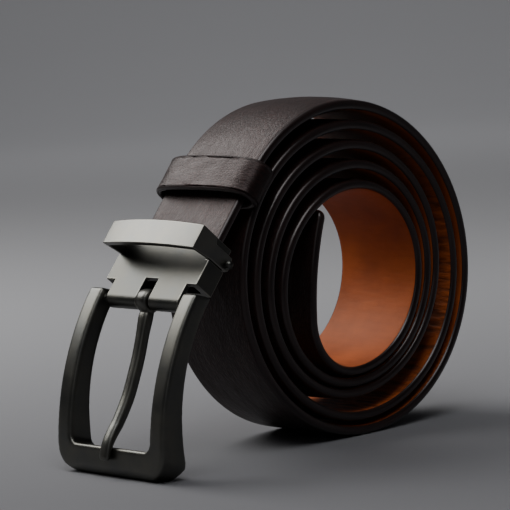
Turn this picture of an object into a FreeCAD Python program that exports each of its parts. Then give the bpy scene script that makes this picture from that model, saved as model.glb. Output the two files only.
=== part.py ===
import FreeCAD, Part
import math
import os
import Sketcher
from FreeCAD import Placement, Rotation, Vector

# A leather belt standing on its edge-on coil, with a clamp-on pin buckle hanging from the outer end.
# The strap runs from the clamp, over the top of the coil, and winds inwards for five turns.
# Frame: +Z up, X along the strap's run seen from the side, Y across the strap, millimetres.

SIZES = {
    # strap
    "strap_width": 33.0,
    "face_layer": 1.1,
    "core_layer": 0.7,
    "lining_layer": 1.0,
    "tip_corner": 3.0,
    "hole_diameter": 4.0,
    "hole_spacing": 25.0,
    "tip_to_hole": 160.0,
    # coil: radii of the four quarters of the first turn, what each later turn loses,
    # and the gap under each later turn at the bottom
    "quarter_top_right": 53.0,
    "quarter_right_bottom": 48.0,
    "quarter_bottom_left": 49.5,
    "quarter_left_top": 45.5,
    "turn_step": 4.3,
    "gap_second": 1.7,
    "gap_third": 4.4,
    "gap_fourth": 0.4,
    "gap_fifth": 0.6,
    "inner_bend": 18.1,
    "tip_curve": 93.0,
    "tip_sweep": 21.0,
    # outer end: an arc down from the top, then straight into the clamp
    "lead_radius": 49.0,
    "lead_sweep": 50.0,
    "lead_straight": 23.0,
    "strap_in_clamp": 15.0,
    # clamp body, measured from the strap's face at the clamp's mouth
    "channel_slack": 0.6,
    "upper_wall": 1.1,
    "lower_wall": 2.4,
    "plate_front": 2.0,
    "strap_gap": 0.3,
    "seat_thickness": 1.9,
    "wall_top": 1.3,
    "plate_top": 4.0,
    "shoulder_level": 8.75,
    "seat_top": 9.6,
    "clamp_bottom": 17.3,
    "pivot_behind": 1.8,
    "pivot_level": 6.3,
    "pivot_radius": 0.9,
    "ball_lip": 0.4,
    "ball_reach": 1.0,
    # loop lever
    "loop_front": 9.2,
    "loop_rise": 1.7,
    "loop_wall": 1.8,
    "loop_top": 1.8,
    "loop_bottom": 9.9,
    "arm_clearance": 0.15,
    # hinge of the frame
    "barrel_clearance": 1.8,
    "barrel_wall": 1.4,
    "hinge_depth": 0.7,
    "hinge_level": 22.3,
    "hinge_radius": 1.3,
    "hinge_clearance": 0.05,
    "slot_clearance": 0.65,
    "slot_top": 16.2,
    # buckle frame and prong, measured from the hinge
    "frame_overhang": 3.3,
    "leg_width": 5.5,
    "leg_above": 2.4,
    "leg_half_depth": 2.9,
    "frame_length": 50.7,
    "foot_height": 7.5,
    "frame_corner": 7.5,
    "foot_front": 5.4,
    "toe_front": 4.0,
    "toe_rise": 1.7,
    "sole_front": 1.6,
    "sole_back": 2.6,
    "heel_rise": 0.9,
    "heel_back": 4.6,
    "heel_top": 4.9,
    "seat_floor": 5.15,
    "window_corner": 2.2,
    "front_camber": 77.0,
    "back_camber": 57.0,
    "pin_inset": 1.2,
    "prong_half": 1.7,
    "eye_lip": 0.4,
    "eye_wall": 2.3,
    "prong_rise": 4.2,
    "shank_front": 1.5,
    "shank_back": 1.6,
    "prong_tip_front": 7.5,
    "prong_tip_back": 5.3,
    # leather keeper
    "keeper_level": 14.2,
    "keeper_width": 12.0,
    "keeper_leather": 1.8,
    "keeper_slack": 0.35,
    "staple_wire": 0.5,
    "staple_width": 9.0,
}

THICKNESS = "Sizes.face_layer + Sizes.core_layer + Sizes.lining_layer"
# What fits round the strap takes its place from the strap's own sizes and these clearances.
CHANNEL_HALF = "(Sizes.strap_width / 2 + Sizes.channel_slack)"
SHOULDER_HALF = f"({CHANNEL_HALF} + Sizes.upper_wall)"
CLAMP_HALF = f"({CHANNEL_HALF} + Sizes.lower_wall)"
ARM_INNER = f"({SHOULDER_HALF} + Sizes.arm_clearance)"
FRAME_HALF = f"({CLAMP_HALF} + Sizes.frame_overhang)"
BARREL_HALF = f"({FRAME_HALF} - Sizes.leg_width - Sizes.barrel_clearance)"
BARREL_RADIUS = "(Sizes.hinge_radius + Sizes.barrel_wall)"
WALL_BACK = f"({THICKNESS} + Sizes.strap_gap + Sizes.seat_thickness)"
PIVOT_DEPTH = f"({THICKNESS} + Sizes.pivot_behind)"
PIVOT_BALL = "(Sizes.pivot_radius + Sizes.ball_lip)"
EYE_HALF = "(Sizes.prong_half + Sizes.eye_lip)"
SLOT_HALF = f"({EYE_HALF} + Sizes.slot_clearance)"
PRONG_TIP = "-Sizes.frame_length + Sizes.prong_rise"

doc = FreeCAD.newDocument("leather_belt")
sheet = doc.addObject("Spreadsheet::Sheet", "Sizes")
for row, (alias, value) in enumerate(SIZES.items(), start=1):
    sheet.set(f"A{row}", alias)
    sheet.set(f"B{row}", str(value))
    sheet.setAlias(f"B{row}", alias)
doc.recompute()


def size(alias):
    return float(sheet.get(alias))


def value(text):
    """What an expression on the sheet comes to."""
    return float(sheet.evalExpression(text))


def bind(item, **properties):
    """Bind properties to expressions on the sheet; a double underscore stands for a dot."""
    for name, text in properties.items():
        item.setExpression(name.replace("__", "."), text)


def block(name, x, y, z):
    """A box between pairs of expressions along each axis."""
    box = doc.addObject("Part::Box", name)
    bind(box, Length=f"({x[1]}) - ({x[0]})", Width=f"({y[1]}) - ({y[0]})", Height=f"({z[1]}) - ({z[0]})")
    bind(box, Placement__Base__x=x[0], Placement__Base__y=y[0], Placement__Base__z=z[0])
    return box


def crossways(name, radius, half_length, x="0", z="0"):
    """A cylinder lying along Y, centred on the strap."""
    rod = doc.addObject("Part::Cylinder", name)
    rod.Placement = Placement(Vector(), Rotation(Vector(1, 0, 0), -90))
    bind(rod, Radius=radius, Height=f"2 * ({half_length})")
    bind(rod, Placement__Base__x=x, Placement__Base__y=f"-({half_length})", Placement__Base__z=z)
    return rod


def fuse(name, *shapes):
    union = doc.addObject("Part::MultiFuse", name)
    union.Shapes = list(shapes)
    return union


def cut(name, base, tool):
    difference = doc.addObject("Part::Cut", name)
    difference.Base = base
    difference.Tool = tool
    return difference


def outline(body, name, plane, corners, radii=None):
    """A closed sketch on one of the body's origin planes. Each corner is a pair of expressions, and
    radii maps the number of a side to the expression of its radius, bulging away from the middle."""
    drawing = body.newObject("Sketcher::SketchObject", name)
    role = next(item for item in body.Origin.OriginFeatures if item.Role == plane)
    drawing.AttachmentSupport = (role, "")
    drawing.MapMode = "FlatFace"
    radii = radii or {}
    points = [Vector(*(value(text) for text in corner), 0) for corner in corners]
    middle = sum(points, Vector()) * (1 / len(points))
    for side, start in enumerate(points):
        end = points[(side + 1) % len(points)]
        if side in radii:
            radius = value(radii[side])
            drawing.addGeometry(bulging_arc(start, end, radius, middle))
            drawing.addConstraint(Sketcher.Constraint("Radius", side, abs(radius)))
            drawing.setExpression(f"Constraints[{drawing.ConstraintCount - 1}]", f"abs({radii[side]})")
        else:
            drawing.addGeometry(Part.LineSegment(start, end))
    for side in range(len(points)):
        follower = (side + 1) % len(points)
        leave = corner_ends(drawing, side, points[follower])
        arrive = corner_ends(drawing, follower, points[follower])
        drawing.addConstraint(Sketcher.Constraint("Coincident", side, leave, follower, arrive))
    for side, corner in enumerate(corners):
        vertex = corner_ends(drawing, side, points[side])
        for axis, text, reach in zip("XY", corner, points[side]):
            drawing.addConstraint(Sketcher.Constraint(f"Distance{axis}", -1, 1, side, vertex, reach))
            drawing.setExpression(f"Constraints[{drawing.ConstraintCount - 1}]", text)
    return drawing


def bulging_arc(start, end, radius, middle):
    """An arc between two points, bulging away from the middle, or towards it for a negative radius."""
    chord = end - start
    outward = Vector(chord.y, -chord.x, 0).normalize()
    if outward.dot(start + chord * 0.5 - middle) * radius < 0:
        outward = outward * -1
    centre = start + chord * 0.5 - outward * math.sqrt(radius**2 - (chord.Length / 2) ** 2)
    first, last = (math.atan2(point.y - centre.y, point.x - centre.x) for point in (start, end))
    if (last - first) % (2 * math.pi) > math.pi:
        first, last = last, first
    return Part.ArcOfCircle(Part.Circle(centre, Vector(0, 0, 1), abs(radius)), first, last)


def corner_ends(drawing, side, point):
    """Which end of a side, 1 or 2, lies on the point."""
    curve = drawing.Geometry[side]
    return 1 if curve.StartPoint.distanceToPoint(point) < curve.EndPoint.distanceToPoint(point) else 2


def circle(body, name, plane, x, y, radius):
    """A circle sketched on one of the body's origin planes."""
    drawing = body.newObject("Sketcher::SketchObject", name)
    role = next(item for item in body.Origin.OriginFeatures if item.Role == plane)
    drawing.AttachmentSupport = (role, "")
    drawing.MapMode = "FlatFace"
    values = [value(text) for text in (x, y, radius)]
    drawing.addGeometry(Part.Circle(Vector(values[0], values[1], 0), Vector(0, 0, 1), values[2]))
    drawing.addConstraint(Sketcher.Constraint("DistanceX", -1, 1, 0, 3, values[0]))
    drawing.addConstraint(Sketcher.Constraint("DistanceY", -1, 1, 0, 3, values[1]))
    drawing.addConstraint(Sketcher.Constraint("Radius", 0, values[2]))
    for number, text in enumerate((x, y, radius)):
        drawing.setExpression(f"Constraints[{number}]", text)
    return drawing


def pad(body, drawing, length):
    feature = body.newObject("PartDesign::Pad", drawing.Name + "_pad")
    feature.Profile = drawing
    feature.SideType = "Symmetric"
    bind(feature, Length=length)
    return feature


def pocket(body, drawing):
    feature = body.newObject("PartDesign::Pocket", drawing.Name + "_pocket")
    feature.Profile = drawing
    feature.Type = "ThroughAll"
    feature.SideType = "Symmetric"
    return feature


def round_edges(body, name, radius, wanted):
    """A fillet on the edges of the body's present shape that the test picks out."""
    doc.recompute()
    base = body.Tip
    edges = [f"Edge{number}" for number, edge in enumerate(base.Shape.Edges, start=1) if wanted(edge)]
    feature = body.newObject("PartDesign::Fillet", name)
    feature.Base = (base, edges)
    bind(feature, Radius=radius)
    return feature


# ---- The strap's path: a chain of tangent pieces, seen from the side ----
# Each piece is (centre, radius, start angle, end angle) in degrees, or two points for a straight.
# The radii are those of the strap's dark outer face; deeper layers lie nearer the centre.

strap_thickness = value(THICKNESS)
coil_height = size("quarter_top_right") + size("quarter_right_bottom")
turn_drop = coil_height - size("quarter_bottom_left") - size("quarter_left_top")
# The first and third quarters shrink more than the others, so that each turn's bottom
# clears the turn below it by its own gap.
slacks = [0.0]
for alias in ("gap_second", "gap_third", "gap_fourth", "gap_fifth"):
    slack = size(alias) + strap_thickness + turn_drop - 2 * size("turn_step")
    slacks.append(slacks[-1] + slack)


def turn_radii(turn):
    """Radii of the top-right, right-bottom, bottom-left and left-top quarters of a turn."""
    step = size("turn_step") * turn
    return (
        size("quarter_top_right") - step - slacks[turn],
        size("quarter_right_bottom") - step,
        size("quarter_bottom_left") - step - slacks[turn],
        size("quarter_left_top") - step,
    )


def strap_path():
    lead = size("lead_radius")
    sweep = size("lead_sweep")
    centre = Vector(0, 0, coil_height - lead)
    slope = Vector(-math.cos(math.radians(sweep)), 0, -math.sin(math.radians(sweep)))
    leave = centre + Vector(-math.sin(math.radians(sweep)), 0, math.cos(math.radians(sweep))) * lead
    run = size("lead_straight") + size("strap_in_clamp")
    pieces = [("straight", leave + slope * run, leave), ("arc", centre, lead, 90 + sweep, 90)]
    here = Vector(0, 0, coil_height)
    angle = 90
    last_turn = len(slacks) - 1
    for turn in range(len(slacks)):
        for quarter, radius in enumerate(turn_radii(turn)):
            sweep = 90
            if turn == last_turn and quarter == 2:
                radius = size("inner_bend")
            if turn == last_turn and quarter == 3:
                radius = size("tip_curve")
                sweep = size("tip_sweep")
            middle = here - direction(angle) * radius
            pieces.append(("arc", middle, radius, angle, angle - sweep))
            angle -= sweep
            here = middle + direction(angle) * radius
    return pieces


def direction(angle):
    return Vector(math.cos(math.radians(angle)), 0, math.sin(math.radians(angle)))


def piece_edge(piece, depth):
    """The edge of one piece of the path, at a depth below the strap's face."""
    if piece[0] == "straight":
        along = (piece[2] - piece[1]).normalize()
        inward = Vector(along.z, 0, -along.x) * depth
        return Part.LineSegment(piece[1] + inward, piece[2] + inward).toShape()
    centre, radius, first, last = piece[1:]
    reach = radius - depth
    stops = [centre + direction(angle) * reach for angle in (first, (first + last) / 2, last)]
    return Part.Arc(*stops).toShape()


def piece_length(piece):
    if piece[0] == "straight":
        return (piece[2] - piece[1]).Length
    return math.radians(piece[3] - piece[4]) * piece[2]


def point_from_tip(distance):
    """The point on the strap's face at a distance from its tip, and its outward direction."""
    for piece in reversed(path):
        length = piece_length(piece)
        if distance <= length and piece[0] == "arc":
            outward = direction(piece[4] + math.degrees(distance / piece[2]))
            return piece[1] + outward * piece[2], outward
        distance -= length
    raise ValueError("the strap is shorter than that distance")


path = strap_path()
mouth = path[0][2] + (path[0][1] - path[0][2]).normalize() * size("lead_straight")
clamp_place = Placement(mouth, Rotation(Vector(0, 1, 0), 90 - size("lead_sweep")))
hinge_point = clamp_place.multVec(Vector(size("hinge_depth"), 0, -size("hinge_level")))


# ---- Strap: three bonded layers with a rounded tip and a row of holes ----

def hole_punches():
    punches = []
    for number in range(5):
        spot, outward = point_from_tip(size("tip_to_hole") + size("hole_spacing") * number)
        punch = doc.addObject("Part::Cylinder", f"punch_{number + 1}")
        bind(punch, Radius="Sizes.hole_diameter / 2", Height=f"{THICKNESS} + 2")
        punch.Placement = Placement(spot + outward, Rotation(Vector(0, 0, 1), outward * -1))
        punches.append(punch)
    return fuse("strap_holes", *punches)


def strap_layer(name, top, bottom, holes):
    """One layer between two depths below the strap's face."""
    upper = [piece_edge(piece, top) for piece in path]
    lower = [piece_edge(piece, bottom) for piece in path]
    caps = [
        Part.LineSegment(upper[0].Vertexes[0].Point, lower[0].Vertexes[0].Point).toShape(),
        Part.LineSegment(upper[-1].Vertexes[-1].Point, lower[-1].Vertexes[-1].Point).toShape(),
    ]
    profile = doc.addObject("Part::Feature", name + "_profile")
    profile.Shape = Part.Face(Part.Wire(Part.__sortEdges__(upper + lower + caps)))
    solid = doc.addObject("Part::Extrusion", name + "_band")
    solid.Base = profile
    solid.DirMode = "Custom"
    solid.Dir = Vector(0, 1, 0)
    solid.Solid = True
    solid.Symmetric = True
    bind(solid, LengthFwd="Sizes.strap_width")
    doc.recompute()
    tip = path[-1][1] + direction(path[-1][4]) * (path[-1][2] - (top + bottom) / 2)
    rounded = doc.addObject("Part::Fillet", name + "_tip")
    rounded.Base = solid
    corners = []
    for number, edge in enumerate(solid.Shape.Edges, start=1):
        centre = edge.CenterOfMass
        at_tip = Vector(centre.x, 0, centre.z).distanceToPoint(tip) < 0.1
        if at_tip and abs(edge.Length - (bottom - top)) < 1e-3:
            corners.append((number, size("tip_corner"), size("tip_corner")))
    rounded.Edges = corners
    return cut(name, rounded, holes)


def strap_layers():
    holes = hole_punches()
    face = size("face_layer")
    core = face + size("core_layer")
    return [
        strap_layer("strap_face", 0, face, holes),
        strap_layer("strap_core", face, core, holes),
        strap_layer("strap_lining", core, strap_thickness, holes),
    ]


# ---- Clamp body: front plate, two side walls, a back seat and the hinge barrel ----
# Its own frame: Z up the strap, X through the strap from face to lining, zero at the mouth.

def clamp_body():
    front, back = "-Sizes.plate_front", WALL_BACK
    gap = "-Sizes.strap_gap"
    depth = f"{THICKNESS} + Sizes.strap_gap"
    low = "-Sizes.clamp_bottom"
    channel = (f"-{CHANNEL_HALF}", CHANNEL_HALF)
    barrel_run = (f"-{BARREL_HALF}", BARREL_HALF)
    hinge = ("Sizes.hinge_depth", "-Sizes.hinge_level")
    pin = (PIVOT_DEPTH, "-Sizes.pivot_level")
    plate = block("clamp_plate", (front, gap), channel, (low, "-Sizes.plate_top"))
    neck = block("clamp_neck", (front, gap), barrel_run, ("-Sizes.hinge_level", low))
    seat = block("clamp_seat", (depth, back), channel, (low, "-Sizes.seat_top"))
    barrel = crossways("clamp_barrel", BARREL_RADIUS, BARREL_HALF, *hinge)
    parts = [plate, neck, seat, barrel]
    for side, sign in (("near", "-"), ("far", "")):
        inner = f"{sign}{CHANNEL_HALF}"
        shoulder = f"{sign}{SHOULDER_HALF}"
        outer = f"{sign}{CLAMP_HALF}"
        upper = (inner, shoulder) if sign == "" else (shoulder, inner)
        lower = (inner, outer) if sign == "" else (outer, inner)
        parts.append(block(f"clamp_wall_{side}", (front, back), upper, (low, "-Sizes.wall_top")))
        parts.append(block(f"clamp_cheek_{side}", (front, back), lower, (low, "-Sizes.shoulder_level")))
        half_wall = f"({SHOULDER_HALF} - {CHANNEL_HALF}) / 2"
        boss = crossways(f"clamp_boss_{side}", "Sizes.pivot_radius + 0.9", half_wall, *pin)
        bind(boss, Placement__Base__y=upper[0])
        parts.append(boss)
    solid = fuse("clamp_solid", *parts)
    bore_radius = "Sizes.hinge_radius + Sizes.hinge_clearance"
    bore = crossways("clamp_hinge_bore", bore_radius, f"{BARREL_HALF} + 1", *hinge)
    pivot_radius = "Sizes.pivot_radius + Sizes.hinge_clearance"
    pivot = crossways("clamp_pivot_bore", pivot_radius, f"{CLAMP_HALF} + 1", *pin)
    slot_depth = ("-Sizes.plate_front - 1", f"Sizes.hinge_depth + {BARREL_RADIUS} + 1")
    slot_run = (f"-Sizes.hinge_level - {BARREL_RADIUS} - 1", "-Sizes.slot_top")
    slot = block("clamp_slot", slot_depth, (f"-{SLOT_HALF}", SLOT_HALF), slot_run)
    return cut("clamp_body", solid, fuse("clamp_openings", bore, pivot, slot))


# ---- Loop lever: an arched front bar on two arms, which turn on the clamp pin ----

def metal_loop():
    body = doc.addObject("PartDesign::Body", "metal_loop")
    reach = "Sizes.loop_front + Sizes.loop_rise"
    side_view = outline(body, "loop_side", "XZ_Plane", [
        (f"-({reach})", "-Sizes.loop_top"),
        ("-Sizes.plate_front - 0.7", "-Sizes.loop_top"),
        ("-Sizes.plate_front + 0.1", "-Sizes.loop_top - 1.8"),
        (f"{WALL_BACK} + 0.4", "-Sizes.loop_top - 1.8"),
        (f"{PIVOT_DEPTH} + 1.6", "-Sizes.pivot_level + 1.6"),
        (f"{PIVOT_DEPTH} + 1.6", "-Sizes.pivot_level - 1.3"),
        (f"{WALL_BACK} + 0.4", "-Sizes.shoulder_level + 0.35"),
        ("-Sizes.plate_front", "-Sizes.shoulder_level + 0.2"),
        (f"-({reach})", "-Sizes.loop_bottom"),
    ])
    pad(body, side_view, f"2 * {CLAMP_HALF}")
    arch = f"({CLAMP_HALF} ^ 2 + Sizes.loop_rise ^ 2) / (2 * Sizes.loop_rise)"
    inside = outline(body, "loop_inside", "XY_Plane", [
        ("-Sizes.loop_front + Sizes.loop_wall", f"-{ARM_INNER}"),
        (f"{WALL_BACK} + 4", f"-{ARM_INNER}"),
        (f"{WALL_BACK} + 4", ARM_INNER),
        ("-Sizes.loop_front + Sizes.loop_wall", ARM_INNER),
    ], {3: arch})
    pocket(body, inside)
    for side, sign in (("near", "-"), ("far", "")):
        outside = outline(body, f"loop_outside_{side}", "XY_Plane", [
            (f"-({reach})", "0"),
            ("-Sizes.loop_front", f"{sign}{CLAMP_HALF}"),
            ("-Sizes.loop_front", f"{sign}({CLAMP_HALF} + 1)"),
            (f"-({reach}) - 1", f"{sign}({CLAMP_HALF} + 1)"),
            (f"-({reach}) - 1", "0"),
        ], {0: f"-({arch})"})
        pocket(body, outside)
    pin_hole = circle(
        body, "loop_pin_hole", "XZ_Plane", PIVOT_DEPTH, "-Sizes.pivot_level", "Sizes.pivot_radius")
    pocket(body, pin_hole)
    return body


def toothed_jaw():
    """A steel plate behind the strap whose teeth bite it while the lever is down."""
    width = f"{CHANNEL_HALF} - 0.3"
    eye = crossways("jaw_eye", "Sizes.pivot_radius + 0.6", width, PIVOT_DEPTH, "-Sizes.pivot_level")
    plate = block(
        "jaw_plate", (f"{PIVOT_DEPTH} - 0.4", f"{PIVOT_DEPTH} + 0.8"), (f"-({width})", width),
        ("-Sizes.pivot_level", "-Sizes.wall_top - 0.4"))
    parts = [eye, plate]
    count = 9
    for number in range(count):
        middle = f"(({number} + 0.5) / {count} * 2 - 1) * ({width})"
        tooth = block(
            f"jaw_tooth_{number + 1}", (f"{THICKNESS} + 0.15", f"{PIVOT_DEPTH} - 0.4"),
            (f"{middle} - 0.9", f"{middle} + 0.9"), ("-Sizes.wall_top - 1.4", "-Sizes.wall_top - 0.4"))
        parts.append(tooth)
    bore = crossways(
        "jaw_bore", "Sizes.pivot_radius", CLAMP_HALF, PIVOT_DEPTH, "-Sizes.pivot_level")
    return cut("toothed_jaw", fuse("jaw_solid", *parts), bore)


def clamp_pin():
    shank = crossways("pin_shank", "Sizes.pivot_radius", f"{CLAMP_HALF} + 0.3")
    balls = []
    for side, sign in (("near", "-"), ("far", "")):
        ball = doc.addObject("Part::Sphere", f"pin_ball_{side}")
        bind(ball, Radius=PIVOT_BALL, Placement__Base__y=f"{sign}({CLAMP_HALF} + Sizes.ball_reach)")
        balls.append(ball)
    around = (f"-{PIVOT_BALL} - 1", f"{PIVOT_BALL} + 1")
    between = (f"-{CLAMP_HALF} - 0.02", f"{CLAMP_HALF} + 0.02")
    trim = block("pin_trim", around, between, around)
    heads = cut("pin_heads", fuse("pin_balls", *balls), trim)
    return fuse("clamp_pin", shank, heads)


# ---- Hinge bar, buckle frame and prong: their own frame has its zero on the hinge ----

def hinge_bar():
    body = doc.addObject("PartDesign::Body", "hinge_bar")
    section = circle(body, "hinge_bar_section", "XZ_Plane", "0", "0", "Sizes.hinge_radius")
    pad(body, section, f"2 * ({FRAME_HALF} - Sizes.pin_inset)")
    return body


def buckle_frame():
    """A cambered frame: two legs from the hinge down to a foot bar with rounded corners."""
    body = doc.addObject("PartDesign::Body", "frame_ring")
    side_view = outline(body, "frame_side", "XZ_Plane", [
        ("-Sizes.leg_half_depth", "Sizes.leg_above"),
        ("-Sizes.foot_front", "-Sizes.frame_length + Sizes.foot_height"),
        ("-Sizes.toe_front", "-Sizes.frame_length + Sizes.toe_rise"),
        ("-Sizes.sole_front", "-Sizes.frame_length"),
        ("Sizes.sole_back", "-Sizes.frame_length + Sizes.heel_rise"),
        ("Sizes.heel_back", "-Sizes.frame_length + Sizes.heel_top"),
        ("Sizes.leg_half_depth", "Sizes.leg_above"),
    ], {0: "Sizes.front_camber", 5: "-Sizes.back_camber"})
    pad(body, side_view, f"2 * {FRAME_HALF}")
    inner = f"{FRAME_HALF} - Sizes.leg_width"
    window = outline(body, "frame_window", "YZ_Plane", [
        (f"-({inner})", "Sizes.leg_above + 1"),
        (f"-({inner})", "-Sizes.frame_length + Sizes.foot_height"),
        (inner, "-Sizes.frame_length + Sizes.foot_height"),
        (inner, "Sizes.leg_above + 1"),
    ])
    pocket(body, window)

    def upright(edge, half):
        """Is the edge a front-to-back one at the foot, at this distance from the middle?"""
        middle = edge.CenterOfMass
        across = abs(edge.BoundBox.YMax - edge.BoundBox.YMin) < 1e-6
        return across and abs(abs(middle.y) - half) < 1e-3

    half = value(FRAME_HALF)
    opening = half - size("leg_width")
    foot = -size("frame_length") + size("foot_height")

    def window_corner(edge):
        return upright(edge, opening) and abs(edge.CenterOfMass.z - foot) < 1e-3

    round_edges(body, "window_corners", "Sizes.window_corner", window_corner)
    corner_cut(body)
    pin_hole = crossways("frame_pin_hole", "Sizes.hinge_radius", f"{FRAME_HALF} - Sizes.pin_inset")
    seat_depth = ("-Sizes.foot_front - 6", "-Sizes.seat_floor")
    seat_width = ("-Sizes.prong_half - 0.2", "Sizes.prong_half + 0.2")
    seat_run = (f"{PRONG_TIP} - 1.2", "-Sizes.frame_length + Sizes.foot_height + 3")
    seat = block("prong_seat", seat_depth, seat_width, seat_run)
    return cut("buckle_frame", body, fuse("frame_openings", pin_hole, seat))


def corner_cut(body):
    """Round the foot's two outer corners in front view."""
    for side, sign in (("near", "-"), ("far", "")):
        edge = f"{sign}{FRAME_HALF}"
        inset = f"{sign}({FRAME_HALF} - Sizes.frame_corner)"
        waste = outline(body, f"frame_corner_{side}", "YZ_Plane", [
            (inset, "-Sizes.frame_length"),
            (edge, "-Sizes.frame_length + Sizes.frame_corner"),
            (f"{sign}({FRAME_HALF} + 1)", "-Sizes.frame_length + Sizes.frame_corner"),
            (f"{sign}({FRAME_HALF} + 1)", "-Sizes.frame_length - 1"),
            (inset, "-Sizes.frame_length - 1"),
        ], {0: "-Sizes.frame_corner"})
        pocket(body, waste)


def prong():
    """The tongue: an eye round the hinge bar, a slim shank and a bend that seats on the foot."""
    body = doc.addObject("PartDesign::Body", "prong_shank")
    side_view = outline(body, "prong_side", "XZ_Plane", [
        ("-Sizes.shank_front", "0"),
        ("-Sizes.shank_front", "-6"),
        ("-Sizes.shank_front - 0.3", "-16"),
        ("-Sizes.shank_front - 1.7", "-28.5"),
        ("-Sizes.shank_front - 3.8", f"{PRONG_TIP} + 11"),
        ("-Sizes.prong_tip_front", f"{PRONG_TIP} + 5.5"),
        ("-Sizes.prong_tip_front + 0.1", PRONG_TIP),
        ("-Sizes.prong_tip_back", PRONG_TIP),
        ("-Sizes.prong_tip_back", f"{PRONG_TIP} + 4.1"),
        ("Sizes.shank_back - 3.8", f"{PRONG_TIP} + 10.5"),
        ("Sizes.shank_back - 1.6", "-29"),
        ("Sizes.shank_back - 0.1", "-16"),
        ("Sizes.shank_back", "0"),
    ])
    pad(body, side_view, "2 * Sizes.prong_half")
    half = size("prong_half")
    round_edges(body, "prong_rounding", "0.7", lambda edge: abs(abs(edge.CenterOfMass.y) - half) < 1e-3)
    eye = crossways("prong_eye", "Sizes.hinge_radius + Sizes.eye_wall", EYE_HALF)
    bore = crossways("prong_bore", "Sizes.hinge_radius + Sizes.hinge_clearance", "Sizes.prong_half + 2")
    return cut("prong", fuse("prong_solid", body, eye), bore)


# ---- Leather keeper and its staple, in the clamp's frame ----

def keeper_pieces():
    inside_x = ("-Sizes.keeper_slack", f"{THICKNESS} + Sizes.keeper_slack")
    inner = "Sizes.strap_width / 2 + Sizes.keeper_slack"
    level = ("Sizes.keeper_level", "Sizes.keeper_level + Sizes.keeper_width")
    outside_x = (f"{inside_x[0]} - Sizes.keeper_leather", f"{inside_x[1]} + Sizes.keeper_leather")
    outer = f"{inner} + Sizes.keeper_leather"
    band = block("keeper_outside", outside_x, (f"-({outer})", outer), level)
    doc.recompute()
    rounded = doc.addObject("Part::Fillet", "keeper_rounding")
    rounded.Base = band
    corners = []
    for number, edge in enumerate(band.Shape.Edges, start=1):
        if abs(edge.BoundBox.ZMax - edge.BoundBox.ZMin) > size("keeper_width") / 2:
            corners.append((number, size("keeper_leather"), size("keeper_leather")))
    rounded.Edges = corners
    through = (f"{level[0]} - 1", f"{level[1]} + 1")
    opening = block("keeper_opening", inside_x, (f"-({inner})", inner), through)
    recess = keeper_staple("staple_recess", outside_x[1])
    leather = cut("leather_keeper", rounded, fuse("keeper_voids", opening, recess))
    return leather, keeper_staple("keeper_staple", outside_x[1])


def keeper_staple(name, back):
    """A flat wire staple across the keeper's back, with two legs pressed into the leather."""
    middle = "Sizes.keeper_level + Sizes.keeper_width / 2"
    half = "Sizes.staple_width / 2"
    wire = "Sizes.staple_wire"
    run_z = (f"{middle} - {wire} / 2", f"{middle} + {wire} / 2")
    leg_x = (f"{back} - Sizes.keeper_leather + 0.1", f"{back} - 0.2")
    crown = block(name + "_crown", (f"{back} - {wire}", back), (f"-{half}", half), run_z)
    near = block(name + "_near_leg", leg_x, (f"-{half}", f"-{half} + {wire}"), run_z)
    far = block(name + "_far_leg", leg_x, (f"{half} - {wire}", half), run_z)
    return fuse(name, crown, near, far)


layers = strap_layers()
clamp = clamp_body()
loop = metal_loop()
jaw = toothed_jaw()
pin = clamp_pin()
bar = hinge_bar()
frame = buckle_frame()
tongue = prong()
keeper, staple = keeper_pieces()
doc.recompute()

named = {
    "strap_face": layers[0],
    "strap_core": layers[1],
    "strap_lining": layers[2],
    "clamp_body": clamp,
    "metal_loop": loop,
    "toothed_jaw": jaw,
    "clamp_pin": pin,
    "hinge_bar": bar,
    "buckle_frame": frame,
    "prong": tongue,
    "leather_keeper": keeper,
    "keeper_staple": staple,
}


def lean_to_floor(shape, pivot_height):
    """The lean, in degrees from upright, at which the hanging frame's foot just meets the floor."""
    low, high = 5.0, 60.0
    for _ in range(30):
        lean = (low + high) / 2
        swing = Placement(Vector(0, 0, pivot_height), Rotation(Vector(0, 1, 0), lean))
        turned = shape.copy()
        turned.Placement = swing.multiply(shape.Placement)
        if turned.optimalBoundingBox(False).ZMin < 0:
            low = lean
        else:
            high = lean
    return lean


frame_lean = lean_to_floor(frame.Shape, hinge_point.z)
frame_place = Placement(hinge_point, Rotation(Vector(0, 1, 0), frame_lean))
pivot_point = Vector(value(PIVOT_DEPTH), 0, -size("pivot_level"))
pin_place = clamp_place.multiply(Placement(pivot_point, Rotation()))
places = {
    "clamp_body": clamp_place,
    "metal_loop": clamp_place,
    "toothed_jaw": clamp_place,
    "leather_keeper": clamp_place,
    "keeper_staple": clamp_place,
    "clamp_pin": pin_place,
    "hinge_bar": frame_place,
    "buckle_frame": frame_place,
    "prong": frame_place,
}

for name, piece in named.items():
    piece.Label = name
    piece.Placement = places.get(name, Placement())
doc.recompute()

# The origin is on the floor, under the middle of the whole belt.
reach = FreeCAD.BoundBox()
for piece in named.values():
    reach.add(piece.Shape.optimalBoundingBox(False))
to_origin = Vector(-(reach.XMin + reach.XMax) / 2, 0, 0)
for piece in named.values():
    piece.Placement = Placement(piece.Placement.Base + to_origin, piece.Placement.Rotation)
doc.recompute()

for item in doc.Objects:
    if "Invalid" in item.State or "Error" in item.State:
        raise RuntimeError(f"{item.Name} failed: {item.State}")
os.makedirs("parts", exist_ok=True)
for name, piece in named.items():
    shape = piece.Shape
    if shape.isNull() or not shape.isValid() or len(shape.Solids) != 1:
        raise RuntimeError(f"{name} is not one valid solid")
    shape.exportStep(f"parts/{name}.step")

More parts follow.
